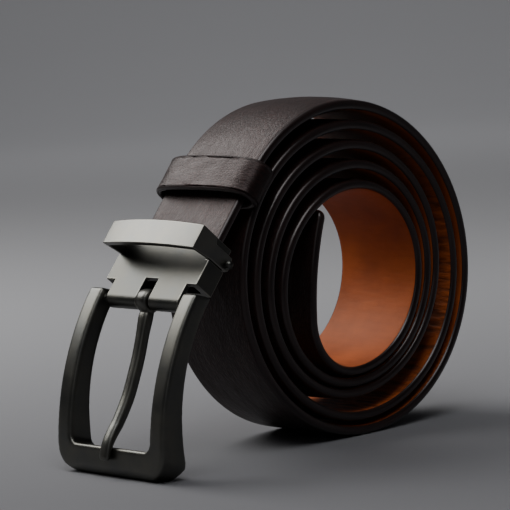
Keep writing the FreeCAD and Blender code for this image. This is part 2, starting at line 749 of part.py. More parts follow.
strap_length = sum(piece_length(piece) for piece in path)
print(f"strap {strap_length:.0f} mm, frame leans {frame_lean:.2f} degrees")
for label, spot in (("clamp mouth", mouth), ("hinge", hinge_point), ("clamp pin", pin_place.Base)):
    spot = spot + to_origin
    print(f"{label}: {spot.x:.3f}, {spot.y:.3f}, {spot.z:.3f} mm")
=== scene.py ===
import math

import bmesh
import bpy
from mathutils import Matrix, Quaternion, Vector


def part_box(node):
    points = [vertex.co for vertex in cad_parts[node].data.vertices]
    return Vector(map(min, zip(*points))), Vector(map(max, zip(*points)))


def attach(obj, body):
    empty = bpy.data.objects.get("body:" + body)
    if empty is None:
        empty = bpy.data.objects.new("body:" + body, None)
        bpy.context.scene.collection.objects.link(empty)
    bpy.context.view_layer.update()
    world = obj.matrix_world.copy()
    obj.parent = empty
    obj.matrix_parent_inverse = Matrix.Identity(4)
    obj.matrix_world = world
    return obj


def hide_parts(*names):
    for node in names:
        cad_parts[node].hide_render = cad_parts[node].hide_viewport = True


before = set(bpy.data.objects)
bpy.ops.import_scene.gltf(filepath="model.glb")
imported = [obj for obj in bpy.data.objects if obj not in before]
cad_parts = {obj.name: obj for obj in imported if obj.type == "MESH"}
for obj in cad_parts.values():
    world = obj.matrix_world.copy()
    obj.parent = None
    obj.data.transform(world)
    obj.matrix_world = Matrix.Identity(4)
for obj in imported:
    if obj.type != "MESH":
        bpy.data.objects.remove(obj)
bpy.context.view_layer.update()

MM = 0.001


# ---- The studio: camera, floor and light ----
# Grey paper with painted shade that darkens it towards the front, under a large softbox high behind
# the belt and a smaller one above its front. A weak fill from the left, a light on the paper behind
# and a soft wash from overhead keep the shadows open.

aim = Vector((-6.26, 0.0, 56.84)) * MM
azimuth, elevation, roll = (math.radians(angle) for angle in (-43.27, 5.98, -3.14))
backward = Vector((
    math.sin(azimuth) * math.cos(elevation),
    -math.cos(azimuth) * math.cos(elevation),
    math.sin(elevation),
))
camera_distance = 0.8000
camera = bpy.data.objects.new("camera", bpy.data.cameras.new("camera"))
camera.data.lens = 190.1
camera.data.clip_start = 0.01
camera.data.clip_end = 20.0
camera.rotation_mode = "QUATERNION"
camera.location = aim + backward * camera_distance
camera.rotation_quaternion = (-backward).to_track_quat("-Z", "Y") @ Quaternion((0, 0, 1), roll)
bpy.context.scene.collection.objects.link(camera)
bpy.context.scene.camera = camera


def soft_light(name, place, target, side, power, colour=(1.0, 1.0, 1.0)):
    """A square softbox at this place, turned towards its target."""
    light = bpy.data.objects.new(name, bpy.data.lights.new(name, "AREA"))
    light.data.size = side
    light.data.energy = power
    light.data.color = colour
    light.rotation_mode = "QUATERNION"
    light.location = place
    light.rotation_quaternion = (target - place).to_track_quat("-Z", "Y")
    bpy.context.scene.collection.objects.link(light)


soft_light("key_softbox", aim + Vector((-0.16, 0.58, 0.60)), aim, 0.62, 7.0, (1.0, 0.99, 0.97))
soft_light("top_softbox", aim + Vector((-0.24, -0.26, 0.69)), aim, 0.46, 2.5, (0.98, 0.99, 1.0))
soft_light("front_left_fill", aim + Vector((-0.66, -0.50, 0.34)), aim, 0.34, 0.15, (0.96, 0.98, 1.0))
soft_light("backdrop_light", Vector((0.95, 1.05, 0.80)), Vector((1.5, 1.65, 0.0)), 0.8, 3.6)

overhead = bpy.data.objects.new("overhead_wash", bpy.data.lights.new("overhead_wash", "SUN"))
overhead.data.angle = math.radians(70)
overhead.data.energy = 0.55
overhead.rotation_mode = "QUATERNION"
overhead.rotation_quaternion = Vector((0.10, -0.40, -0.90)).to_track_quat("-Z", "Y")
bpy.context.scene.collection.objects.link(overhead)

studio = bpy.data.worlds.new("studio")
studio.use_nodes = True
studio.node_tree.nodes["Background"].inputs["Color"].default_value = (0.022, 0.022, 0.025, 1)
studio.node_tree.nodes["Background"].inputs["Strength"].default_value = 1.0
bpy.context.scene.world = studio


def paper_sweep():
    """A round sheet of studio paper: flat under the belt, its rim curving up all round it."""
    flat, bend, rise = 1.6, 0.9, 0.9
    sides = 96
    bend_steps = 12
    profile = [(0.02, 0.0), (0.3, 0.0), (0.8, 0.0)]
    for step in range(bend_steps + 1):
        turn = math.radians(90 / bend_steps * step)
        profile.append((flat + bend * math.sin(turn), bend * (1 - math.cos(turn))))
    profile.append((flat + bend, bend + rise))
    sheet = bmesh.new()
    rings = []
    for reach, height in profile:
        ways = [math.tau * step / sides for step in range(sides)]
        rings.append([
            sheet.verts.new((reach * math.cos(way), reach * math.sin(way), height)) for way in ways])
    sheet.faces.new(rings[0])
    for inner, outer in zip(rings, rings[1:]):
        for step in range(sides):
            after = (step + 1) % sides
            sheet.faces.new((inner[step], outer[step], outer[after], inner[after]))
    mesh = bpy.data.meshes.new("floor")
    sheet.to_mesh(mesh)
    sheet.free()
    mesh.shade_smooth()
    return mesh


floor_paint = bpy.data.materials.new("studio_floor")
floor_paint.use_nodes = True
paint_nodes, paint_links = floor_paint.node_tree.nodes, floor_paint.node_tree.links
paint_place = paint_nodes.new("ShaderNodeTexCoord")
paint_way = paint_nodes.new("ShaderNodeVectorMath")
paint_way.operation = "DOT_PRODUCT"
paint_way.inputs[1].default_value = tuple(-backward)
# painted shade: the paper's colour darkens towards the camera, standing in for the light falling off at the
# front
front_shade_fade = paint_nodes.new("ShaderNodeMapRange")
front_shade_fade.interpolation_type = "SMOOTHSTEP"
front_shade_fade.inputs["From Min"].default_value = -0.16
front_shade_fade.inputs["From Max"].default_value = 0.42
front_shade_tone = paint_nodes.new("ShaderNodeValToRGB")
front_shade_tone.color_ramp.elements[0].color = (0.125, 0.125, 0.134, 1)
front_shade_tone.color_ramp.elements[1].color = (0.33, 0.33, 0.345, 1)
paint_links.new(paint_place.outputs["Object"], paint_way.inputs[0])
paint_links.new(paint_way.outputs["Value"], front_shade_fade.inputs["Value"])
paint_links.new(front_shade_fade.outputs["Result"], front_shade_tone.inputs["Fac"])
paint_links.new(front_shade_tone.outputs["Color"], paint_nodes["Principled BSDF"].inputs["Base Color"])
paint_nodes["Principled BSDF"].inputs["Roughness"].default_value = 0.8
floor = bpy.data.objects.new("floor", paper_sweep())
floor.data.materials.append(floor_paint)
bpy.context.scene.collection.objects.link(floor)


# ---- Strap: the belt's own leather, 33 mm wide, wound inwards for five turns ----
# A dark grained face and a tan lining are bonded over a filler that is thicker along the middle,
# so the face is crowned. The edges are ground round, stained and waxed.

strap_width = 33.0 * MM
strap_thickness = 2.8 * MM
edge_round = 1.2 * MM
strap_crown = 1.15 * MM
tip_corner = 3.0 * MM
hole_radius = 2.0 * MM
tip_flat = 0.05 * MM
hole_count = 5
first_hole = 160.0 * MM
hole_spacing = 25.0 * MM

# the strap's path, in millimetres and degrees
first_turn = [53.0, 48.0, 49.5, 45.5]
turn_step = 4.3
turn_slack = [0.0, 1.9, 6.5, 7.1, 7.9]
coil_top = Vector((0.0, 0.0, 101.0))
lead_radius, lead_sweep, lead_run = 49.0, 50.0, 38.0
last_bend, tip_curve, tip_sweep = 18.1, 93.0, 21.0


def heading(angle):
    """The direction at this angle above level, seen from the side."""
    return Vector((math.cos(math.radians(angle)), 0.0, math.sin(math.radians(angle))))


def strap_arcs():
    """The strap's face seen from the side, from the clamp to the tip: centre, radius and two angles."""
    arcs = [(coil_top - heading(90) * lead_radius, lead_radius, 90 + lead_sweep, 90)]
    here, angle = coil_top.copy(), 90.0
    for turn, slack in enumerate(turn_slack):
        for quarter, radius in enumerate(first_turn):
            radius -= turn_step * turn + (slack if quarter in (0, 2) else 0)
            sweep = 90.0
            if turn == len(turn_slack) - 1 and quarter == 2:
                radius = last_bend
            if turn == len(turn_slack) - 1 and quarter == 3:
                radius, sweep = tip_curve, tip_sweep
            centre = here - heading(angle) * radius
            arcs.append((centre, radius, angle, angle - sweep))
            angle -= sweep
            here = centre + heading(angle) * radius
    return arcs


arcs = strap_arcs()
strap_length = lead_run + sum(math.radians(a - b) * radius for _, radius, a, b in arcs)


def strap_point(distance):
    """The point on the strap's face at this distance from its end in the clamp, and the way out."""
    if distance <= lead_run:
        out = heading(90 + lead_sweep)
        along = Vector((out.z, 0.0, -out.x))
        return arcs[0][0] + out * arcs[0][1] - along * (lead_run - distance), out
    distance -= lead_run
    for centre, radius, first, last in arcs:
        run = math.radians(first - last) * radius
        if distance <= run or (centre, radius, first, last) == arcs[-1]:
            out = heading(first - math.degrees(distance / radius))
            return centre + out * radius, out
        distance -= run


# the stations crowd together at the tip, where its corners are cut round
even_step = 1.5
before_tip = (12, 10.6, 9.2, 7.9, 6.7, 5.6, 4.6, 3.7, 2.9, 2.2, 1.6, 1.1, 0.7, 0.4, 0.2, 0.07, 0)
stations = [step * even_step for step in range(int((strap_length - before_tip[0]) / even_step))]
stations += [strap_length - distance for distance in before_tip]
coil_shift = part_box("strap_face")[1].x - (coil_top.x + first_turn[0]) * MM


def path_curve(name, points, closed=False):
    """A guide curve through these points."""
    curve = bpy.data.curves.new(name, "CURVE")
    curve.dimensions = "3D"
    line = curve.splines.new("POLY")
    line.points.add(len(points) - 1)
    for point, place in zip(line.points, points):
        point.co = (*place, 1.0)
    line.use_cyclic_u = closed
    guide = bpy.data.objects.new(name, curve)
    bpy.context.scene.collection.objects.link(guide)
    return guide


strap_guide = path_curve(
    "strap_guide", [strap_point(distance)[0] * MM + Vector((coil_shift, 0, 0)) for distance in stations])


def shader(name):
    """A new material, its nodes, its links and its surface shader."""
    material = bpy.data.materials.new(name)
    material.use_nodes = True
    nodes = material.node_tree.nodes
    return material, nodes, material.node_tree.links, nodes["Principled BSDF"]


def noise(nodes, links, vector, scale, detail=4.0, roughness=0.55, stretch=None):
    """Noise on these coordinates, stretched along their axes if asked."""
    if stretch:
        mapping = nodes.new("ShaderNodeMapping")
        mapping.inputs["Scale"].default_value = stretch
        links.new(vector, mapping.inputs["Vector"])
        vector = mapping.outputs["Vector"]
    cloud = nodes.new("ShaderNodeTexNoise")
    cloud.inputs["Scale"].default_value = scale
    cloud.inputs["Detail"].default_value = detail
    cloud.inputs["Roughness"].default_value = roughness
    links.new(vector, cloud.inputs["Vector"])
    return cloud.outputs["Fac"]


def ramp(nodes, links, factor, *stops):
    """A colour ramp; each stop is a position and a grey or a colour."""
    band = nodes.new("ShaderNodeValToRGB")
    while len(band.color_ramp.elements) < len(stops):
        band.color_ramp.elements.new(0.5)
    for element, (position, tone) in zip(band.color_ramp.elements, stops):
        element.position = position
        element.color = (*tone, 1) if isinstance(tone, tuple) else (tone, tone, tone, 1)
    links.new(factor, band.inputs["Fac"])
    return band.outputs["Color"]


def math_node(nodes, links, operation, first, second):
    """Arithmetic on two values or sockets."""
    sum_node = nodes.new("ShaderNodeMath")
    sum_node.operation = operation
    for socket, value in zip(sum_node.inputs, (first, second)):
        if isinstance(value, (int, float)):
            socket.default_value = value
        else:
            links.new(value, socket)
    return sum_node.outputs["Value"]


def bump(nodes, links, height, distance, strength, under=None):
    """Relief this deep from a height, on top of another relief if there is one."""
    relief = nodes.new("ShaderNodeBump")
    relief.inputs["Strength"].default_value = strength
    relief.inputs["Distance"].default_value = distance
    links.new(height, relief.inputs["Height"])
    if under:
        links.new(under, relief.inputs["Normal"])
    return relief.outputs["Normal"]


def mix_colour(nodes, links, factor, first, second):
    """The first colour where the factor is 0, the second where it is 1."""
    mixer = nodes.new("ShaderNodeMix")
    mixer.data_type = "RGBA"
    links.new(factor, mixer.inputs["Factor"])
    for socket, value in (("A", first), ("B", second)):
        target = next(s for s in mixer.inputs if s.name == socket and s.type == "RGBA")
        if isinstance(value, tuple):
            target.default_value = (*value, 1)
        else:
            links.new(value, target)
    return next(s for s in mixer.outputs if s.type == "RGBA")


def band_place(nodes):
    """Where a point is on its band: along it, across it and through it, in metres."""
    place = nodes.new("ShaderNodeAttribute")
    place.attribute_name = "band_place"
    return place.outputs["Vector"]


def dark_leather(name, wrinkle_turn):
    """Aniline-dyed calf: brown nearly to black, fine wrinkles and pores, a low waxed sheen."""
    material, nodes, links, surface = shader(name)
    place = band_place(nodes)
    cells = nodes.new("ShaderNodeTexVoronoi")
    cells.feature = "DISTANCE_TO_EDGE"
    cells.inputs["Scale"].default_value = 1250.0
    warp = nodes.new("ShaderNodeMapping")
    warp.inputs["Rotation"].default_value = (0, 0, wrinkle_turn)
    warp.inputs["Scale"].default_value = (0.45, 1.0, 1.0)
    links.new(place, warp.inputs["Vector"])
    links.new(warp.outputs["Vector"], cells.inputs["Vector"])
    creases = ramp(nodes, links, cells.outputs["Distance"], (0.0, 0.0), (0.22, 1.0))
    wrinkles = noise(nodes, links, warp.outputs["Vector"], 430.0, 5.0, 0.62, (0.85, 1.1, 1.0))
    folds = noise(nodes, links, warp.outputs["Vector"], 130.0, 3.0, 0.5)
    clouds = noise(nodes, links, place, 55.0, 3.0)
    pores = noise(nodes, links, place, 2600.0, 2.0)
    tone = ramp(
        nodes, links, clouds, (0.3, (0.0100, 0.0043, 0.0040)), (0.72, (0.032, 0.0125, 0.0110)))
    # painted shade: the grain's crease lines are painted nearly black, as if shade lay in them
    shaded = mix_colour(nodes, links, creases, (0.006, 0.004, 0.004), tone)
    links.new(shaded, surface.inputs["Base Color"])
    wax = math_node(nodes, links, "MULTIPLY", wrinkles, 0.30)
    links.new(math_node(nodes, links, "ADD", wax, 0.30), surface.inputs["Roughness"])
    relief = bump(nodes, links, folds, 0.0014, 0.3)
    relief = bump(nodes, links, wrinkles, 0.0004, 0.5, relief)
    relief = bump(nodes, links, creases, 0.00007, 0.55, relief)
    relief = bump(nodes, links, pores, 0.00003, 0.4, relief)
    links.new(relief, surface.inputs["Normal"])
    surface.inputs["Specular IOR Level"].default_value = 0.28
    surface.inputs["Specular Tint"].default_value = (1.0, 0.77, 0.75, 1)
    surface.inputs["Coat Weight"].default_value = 0.05
    surface.inputs["Coat Roughness"].default_value = 0.30
    surface.inputs["Sheen Weight"].default_value = 0.02
    surface.inputs["Sheen Roughness"].default_value = 0.5
    return material


def waxed_edge(name):
    """Ground, stained and waxed edge: smoother and glossier than the face, with faint layer lines."""
    material, nodes, links, surface = shader(name)
    place = band_place(nodes)
    layers = noise(nodes, links, place, 900.0, 3.0, 0.5, (0.06, 1.0, 1.6))
    tone = ramp(nodes, links, layers, (0.3, (0.007, 0.0046, 0.0046)), (0.75, (0.022, 0.0115, 0.0105)))
    links.new(tone, surface.inputs["Base Color"])
    gloss = math_node(nodes, links, "MULTIPLY", layers, 0.2)
    links.new(math_node(nodes, links, "ADD", gloss, 0.22), surface.inputs["Roughness"])
    links.new(bump(nodes, links, layers, 0.00012, 0.5), surface.inputs["Normal"])
    surface.inputs["Specular Tint"].default_value = (1.0, 0.9, 0.9, 1)
    surface.inputs["Coat Weight"].default_value = 0.25
    surface.inputs["Coat Roughness"].default_value = 0.24
    return material


def tan_lining(name):
    """Vegetable-tanned lining: warm orange tan, with crosswise creases where the second turn is pinched,
    their hollows darkened with painted shade.
    """
    material, nodes, links, surface = shader(name)
    place = band_place(nodes)
    parts = nodes.new("ShaderNodeSeparateXYZ")
    links.new(place, parts.inputs["Vector"])
    fades = []
    for start, end, low, high in ((0.40, 0.45, 0.12, 1.0), (0.54, 0.62, 1.0, 0.12)):
        fade = nodes.new("ShaderNodeMapRange")
        fade.interpolation_type = "SMOOTHSTEP"
        for key, value in (("From Min", start), ("From Max", end), ("To Min", low), ("To Max", high)):
            fade.inputs[key].default_value = value
        links.new(parts.outputs["X"], fade.inputs["Value"])
        fades.append(fade.outputs["Result"])
    pinch = math_node(nodes, links, "MULTIPLY", *fades)
    folds = noise(nodes, links, place, 560.0, 3.0, 0.5, (1.0, 0.22, 0.3))
    valley_shade = ramp(nodes, links, folds, (0.36, 0.85), (0.56, 0.0))
    clouds = noise(nodes, links, place, 60.0, 4.0, 0.55)
    fibres = noise(nodes, links, place, 1900.0, 3.0, 0.6)
    tone = ramp(nodes, links, clouds, (0.30, (0.29, 0.060, 0.013)), (0.72, (0.45, 0.100, 0.022)))
    # painted shade: the hollows of the crosswise creases are painted dark brown
    crease_shade = math_node(nodes, links, "MULTIPLY", valley_shade, pinch)
    tone = mix_colour(nodes, links, crease_shade, tone, (0.10, 0.026, 0.009))
    links.new(tone, surface.inputs["Base Color"])
    soft = math_node(nodes, links, "MULTIPLY", fibres, 0.2)
    links.new(math_node(nodes, links, "ADD", soft, 0.5), surface.inputs["Roughness"])
    surface.inputs["Specular IOR Level"].default_value = 0.3
    surface.inputs["Specular Tint"].default_value = (1.0, 0.72, 0.5, 1)
    relief = bump(nodes, links, math_node(nodes, links, "MULTIPLY", folds, pinch), 0.0009, 0.6)
    relief = bump(nodes, links, clouds, 0.0006, 0.25, relief)
    relief = bump(nodes, links, fibres, 0.00005, 0.3, relief)
    links.new(relief, surface.inputs["Normal"])
    return material


def band_tree(name, crown_along, holes):
    """Node tree for a leather band swept along a guide curve, in named sizes."""
    tree = bpy.data.node_groups.new(name, "GeometryNodeTree")
    tree.is_modifier = True
    plan = tree.interface
    plan.new_socket("Geometry", in_out="INPUT", socket_type="NodeSocketGeometry")
    plan.new_socket("Geometry", in_out="OUTPUT", socket_type="NodeSocketGeometry")
    plan.new_socket("Guide", in_out="INPUT", socket_type="NodeSocketObject")
    plan.new_socket("Crosswise", in_out="INPUT", socket_type="NodeSocketVector")
    for size in ("Width", "Thickness", "Edge Radius", "Crown", "Unevenness", "Tip Corner", "Length"):
        plan.new_socket(size, in_out="INPUT", socket_type="NodeSocketFloat")
    for size in ("First Hole", "Hole Spacing", "Hole Radius"):
        plan.new_socket(size, in_out="INPUT", socket_type="NodeSocketFloat")
    for skin in ("Face", "Edge", "Lining"):
        plan.new_socket(skin, in_out="INPUT", socket_type="NodeSocketMaterial")
    nodes, links = tree.nodes, tree.links
    given = nodes.new("NodeGroupInput").outputs

    def put(kind, settings=None, **sockets):
        """A new node with these settings, its inputs wired or set by name."""
        node = nodes.new(kind)
        for key, value in (settings or {}).items():
            setattr(node, key, value)
        for key, value in sockets.items():
            wire(node, key.replace("_", " "), value)
        return node

    def wire(node, key, value):
        """Link a socket to this input of the node, or set the input's value."""
        socket = next(s for s in node.inputs if s.name == key and s.enabled and not s.is_unavailable)
        if isinstance(value, bpy.types.NodeSocket):
            links.new(value, socket)
        else:
            socket.default_value = value

    def operate(kind, operation, values):
        """A node that does this operation on values or sockets, in order."""
        node = nodes.new(kind)
        node.operation = operation
        for socket, value in zip(node.inputs, values):
            if isinstance(value, bpy.types.NodeSocket):
                links.new(value, socket)
            else:
                socket.default_value = value
        return node

    def calc(operation, *values):
        """Arithmetic on numbers."""
        return operate("ShaderNodeMath", operation, values).outputs["Value"]

    def vector_calc(operation, *values):
        """Arithmetic on vectors."""
        return operate("ShaderNodeVectorMath", operation, values).outputs["Vector"]

    def scaled(vector, amount):
        """A vector times a number."""
        node = nodes.new("ShaderNodeVectorMath")
        node.operation = "SCALE"
        links.new(vector, node.inputs["Vector"])
        links.new(amount, node.inputs["Scale"])
        return node.outputs["Vector"]

    def store(geometry, label, kind, value):
        """Keep this value at every point under a label."""
        node = put("GeometryNodeStoreNamedAttribute", {"data_type": kind, "domain": "POINT"},
                   Geometry=geometry, Name=label, Value=value)
        return node.outputs["Geometry"]

    def recall(label, kind):
        """The value kept under a label."""
        node = put("GeometryNodeInputNamedAttribute", {"data_type": kind}, Name=label)
        return next(s for s in node.outputs if s.name == "Attribute" and s.enabled)

    # the guide, with its distance and its outward direction
    guide = put("GeometryNodeObjectInfo", {"transform_space": "ORIGINAL"}, Object=given["Guide"])
    run = nodes.new("GeometryNodeSplineParameter")
    tangent = nodes.new("GeometryNodeInputTangent")
    outward = vector_calc("CROSS_PRODUCT", tangent.outputs["Tangent"], given["Crosswise"])
    outward = vector_calc("NORMALIZE", outward)
    rail = put("GeometryNodeSetCurveNormal", {"mode": "FREE"},
               Curve=guide.outputs["Geometry"], Normal=given["Crosswise"])
    rail = store(rail.outputs["Curve"], "along", "FLOAT", run.outputs["Length"])
    rail = store(rail, "outward", "FLOAT_VECTOR", outward)
    # the section: a rectangle with points along its long sides and rounded corners
    long_side_cuts = 16.0
    corner_points = 5
    hair = 1e-5
    half_width = calc("MULTIPLY", given["Width"], 0.5)
    section = put("GeometryNodeCurvePrimitiveQuadrilateral", {"mode": "RECTANGLE"},
                  Width=given["Width"], Height=given["Thickness"])
    number = nodes.new("GeometryNodeInputIndex")
    even = calc("SUBTRACT", 1.0, calc("MODULO", number.outputs["Index"], 2.0))
    section = put("GeometryNodeSubdivideCurve",
                  Curve=section.outputs["Curve"], Cuts=calc("MULTIPLY", even, long_side_cuts))
    place = nodes.new("ShaderNodeSeparateXYZ")
    links.new(nodes.new("GeometryNodeInputPosition").outputs["Position"], place.inputs["Vector"])
    reach = calc("ABSOLUTE", place.outputs["X"])
    corner = calc("GREATER_THAN", reach, calc("SUBTRACT", half_width, hair))
    section = put("GeometryNodeFilletCurve", {"mode": "POLY"}, Curve=section.outputs["Curve"],
                  Count=corner_points, Radius=calc("MULTIPLY", corner, given["Edge Radius"]),
                  Limit_Radius=False)
    section = store(section.outputs["Curve"], "across", "FLOAT", place.outputs["X"])
    section = store(section, "depth", "FLOAT", place.outputs["Y"])
    drop = calc("MULTIPLY", given["Thickness"], -0.5)
    lowered = put("ShaderNodeCombineXYZ", Y=drop)
    section = put("GeometryNodeSetPosition", Geometry=section, Offset=lowered.outputs["Vector"])
    band = put("GeometryNodeCurveToMesh",
               Curve=rail, Profile_Curve=section.outputs["Geometry"], Fill_Caps=True).outputs["Mesh"]
    # the crown: the middle of the face is lifted, and wanders a little
    along, across, depth = (recall(label, "FLOAT") for label in ("along", "across", "depth"))
    side = recall("outward", "FLOAT_VECTOR")
    spread = calc("DIVIDE", across, half_width)
    bow = calc("SUBTRACT", 1.0, calc("MULTIPLY", spread, spread))
    faceward = calc("ADD", calc("DIVIDE", depth, given["Thickness"]), 0.5)
    swell = nodes.new("ShaderNodeFloatCurve")
    curve = swell.mapping.curves[0]
    while len(curve.points) < len(crown_along):
        curve.points.new(0.5, 0.5)
    for point, (where, amount) in zip(curve.points, crown_along):
        point.location = (where, amount)
    swell.mapping.update()
    links.new(calc("DIVIDE", along, given["Length"]), swell.inputs["Value"])
    crown = calc("MULTIPLY", given["Crown"], swell.outputs["Value"])
    lift = calc("MULTIPLY", calc("MULTIPLY", bow, faceward), crown)
    where = put("ShaderNodeCombineXYZ", X=along, Y=across, Z=depth)
    waves = put("ShaderNodeTexNoise", {"noise_dimensions": "3D"},
                Vector=where.outputs["Vector"], Scale=70.0, Detail=2.0)
    ripple = calc("MULTIPLY", calc("SUBTRACT", waves.outputs["Fac"], 0.5), given["Unevenness"])
    ripple = calc("MULTIPLY", ripple, bow)
    # the end: the corners are cut to a radius and the last of the thickness is ground round
    left = calc("SUBTRACT", given["Length"], along)

    def quarter_round(radius):
        """How high a quarter circle of this radius stands this close to the end."""
        short = calc("MAXIMUM", calc("SUBTRACT", radius, left), 0.0)
        square = calc("SUBTRACT", calc("POWER", radius, 2.0), calc("POWER", short, 2.0))
        return calc("SQRT", calc("MAXIMUM", square, 0.0))

    smallest_corner = 1e-6
    inset = calc("SUBTRACT", given["Tip Corner"], quarter_round(given["Tip Corner"]))
    narrow = calc("DIVIDE", calc("MULTIPLY", inset, -2.0), given["Width"])
    thin = calc("DIVIDE", quarter_round(given["Edge Radius"]), given["Edge Radius"])
    thin = calc("SUBTRACT", thin, 1.0)
    tipped = calc("GREATER_THAN", given["Tip Corner"], smallest_corner)
    thinning = calc("MULTIPLY", calc("MULTIPLY", depth, thin), tipped)
    narrowing = calc("MULTIPLY", calc("MULTIPLY", across, narrow), tipped)
    move = vector_calc("ADD", scaled(side, calc("ADD", lift, ripple)), scaled(side, thinning))
    move = vector_calc("ADD", move, scaled(given["Crosswise"], narrowing))
    band = put("GeometryNodeSetPosition", Geometry=band, Offset=move).outputs["Geometry"]
    band = store(band, "band_place", "FLOAT_VECTOR", where.outputs["Vector"])
    # skins: the face, the lining, and the edges between them
    rim = calc("SUBTRACT", half_width, calc("MULTIPLY", given["Edge Radius"], 0.8))
    is_edge = calc("GREATER_THAN", calc("ABSOLUTE", across), rim)
    is_lining = calc("LESS_THAN", depth, calc("MULTIPLY", given["Thickness"], -0.45))
    for skin, selection in (("Face", True), ("Lining", is_lining), ("Edge", is_edge)):
        band = put("GeometryNodeSetMaterial",
                   Geometry=band, Selection=selection, Material=given[skin]).outputs["Geometry"]
    band = put("GeometryNodeSetShadeSmooth", Geometry=band).outputs["Geometry"]
    if holes:
        # round punches stand across the band at even distances along the guide
        punch_sides = 32
        row = put("GeometryNodeMeshLine", {"mode": "OFFSET"}, Count=holes)
        which = nodes.new("GeometryNodeInputIndex").outputs["Index"]
        spot = calc("SUBTRACT", calc("SUBTRACT", given["Length"], given["First Hole"]),
                    calc("MULTIPLY", which, given["Hole Spacing"]))
        sample = put("GeometryNodeSampleCurve", {"mode": "LENGTH", "use_all_curves": True},
                     Curves=guide.outputs["Geometry"], Length=spot)
        radial = vector_calc("CROSS_PRODUCT", sample.outputs["Tangent"], given["Crosswise"])
        row = put("GeometryNodeSetPosition",
                  Geometry=row.outputs["Mesh"], Position=sample.outputs["Position"])
        turn = put("FunctionNodeAlignRotationToVector", {"axis": "Z"}, Vector=radial)
        punch = put("GeometryNodeMeshCylinder", {"fill_type": "NGON"}, Vertices=punch_sides,
                    Radius=given["Hole Radius"], Depth=calc("MULTIPLY", given["Thickness"], 4.0))
        punch = put("GeometryNodeSetMaterial", Geometry=punch.outputs["Mesh"], Material=given["Edge"])
        row = put("GeometryNodeInstanceOnPoints", Points=row.outputs["Geometry"],
                  Instance=punch.outputs["Geometry"], Rotation=turn.outputs["Rotation"])
        row = put("GeometryNodeRealizeInstances", Geometry=row.outputs["Instances"])
        cutter = put("GeometryNodeMeshBoolean", {"operation": "DIFFERENCE", "solver": "FLOAT"}, Mesh_1=band)
        links.new(row.outputs["Geometry"], cutter.inputs["Mesh 2"])
        band = cutter.outputs["Mesh"]
    real = put("GeometryNodeRealizeInstances", Geometry=band)
    end = nodes.new("NodeGroupOutput")
    links.new(real.outputs["Geometry"], end.inputs["Geometry"])
    return tree


def settled(piece):
    """Turn a piece's modifiers into plain mesh."""
    graph = bpy.context.evaluated_depsgraph_get()
    mesh = bpy.data.meshes.new_from_object(
        piece.evaluated_get(graph), preserve_all_data_layers=True, depsgraph=graph)
    piece.modifiers.clear()
    piece.data = mesh
    return piece


def leather_band(name, tree, **inputs):
    """A band made by the tree with these inputs, as plain mesh."""
    piece = bpy.data.objects.new(name, bpy.data.meshes.new(name))
    bpy.context.scene.collection.objects.link(piece)
    modifier = piece.modifiers.new("band", "NODES")
    modifier.node_group = tree
    for item in tree.interface.items_tree:
        key = item.name.replace(" ", "_").lower()
        if item.in_out == "INPUT" and key in inputs:
            modifier[item.identifier] = inputs[key]
    return settled(piece)


strap_dark = dark_leather("strap_face_leather", 0.35)
strap_edge = waxed_edge("strap_edge_wax")
strap_tan = tan_lining("strap_lining_leather")
crown_stops = [(0.0, 0.1), (0.02, 0.16), (0.034, 0.85), (0.05, 1.0), (0.085, 1.0),
               (0.13, 0.75), (0.17, 0.3), (0.215, 0.1), (0.27, 0.3), (1.0, 0.3)]
strap = leather_band(
    "strap", band_tree("strap_band", crown_stops, hole_count),
    guide=strap_guide, crosswise=(0.0, 1.0, 0.0), width=strap_width, thickness=strap_thickness,
    edge_radius=edge_round, crown=strap_crown, unevenness=0.22 * MM, tip_corner=tip_corner,
    length=strap_length * MM + tip_flat, first_hole=first_hole, hole_spacing=hole_spacing,
    hole_radius=hole_radius, face=strap_dark, edge=strap_edge, lining=strap_tan)
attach(strap, "strap")
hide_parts("strap_face", "strap_core", "strap_lining")


# ---- Keeper: a narrow leather band round the strap just above the buckle ----
# Folded from the same dark calf, bulging over the crowned strap, its two ends closed with a
# wire staple behind. It slides on the strap.

clamp_mouth = Vector((-35.357, 0.0, 65.878)) * MM
strap_lean = math.radians(40)
up_strap = Vector((math.sin(strap_lean), 0.0, math.cos(strap_lean)))
through_strap = Vector((math.cos(strap_lean), 0.0, -math.sin(strap_lean)))
keeper_level = 19.7 * MM
keeper_width = 12.0 * MM
keeper_leather = 1.6 * MM


def squared(share, power):
    """A sine or cosine raised to this power, keeping its sign: it makes a circle squarer."""
    return math.copysign(abs(share) ** power, share)


def keeper_ring():
    """The keeper's outer surface seen along the strap: across, and through from face to lining."""
    half_across = 18.5 * MM
    front = 4.4 * MM
    back = 4.1 * MM
    middle = 1.8 * MM
    off_centre = 0.3 * MM
    squareness = 3.2
    steps = 120
    ring = []
    for step in range(steps):
        angle = math.tau * step / steps
        across = squared(math.cos(angle), 2 / squareness) * half_across
        share = squared(math.sin(angle), 2 / squareness)
        ring.append((across - off_centre, middle + share * (back if share > 0 else front)))
    return ring


keeper_guide = path_curve("keeper_guide", [
    clamp_mouth + up_strap * keeper_level + Vector((0, across, 0)) + through_strap * depth
    for across, depth in keeper_ring()], closed=True)
keeper_points = keeper_guide.data.splines[0].points
keeper_length = sum((a.co - b.co).length for a, b in zip(keeper_points, keeper_points[1:]))
keeper = leather_band(
    "keeper", band_tree("keeper_band", [(0.0, 1.0), (1.0, 1.0)], 0),
    guide=keeper_guide, crosswise=tuple(up_strap), width=keeper_width, thickness=keeper_leather,
    edge_radius=0.8 * MM, crown=0.45 * MM, unevenness=1.1 * MM, tip_corner=0.0, length=keeper_length,
    face=dark_leather("keeper_leather", 1.2), edge=strap_edge, lining=strap_dark)
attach(keeper, "keeper")
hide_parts("leather_keeper")
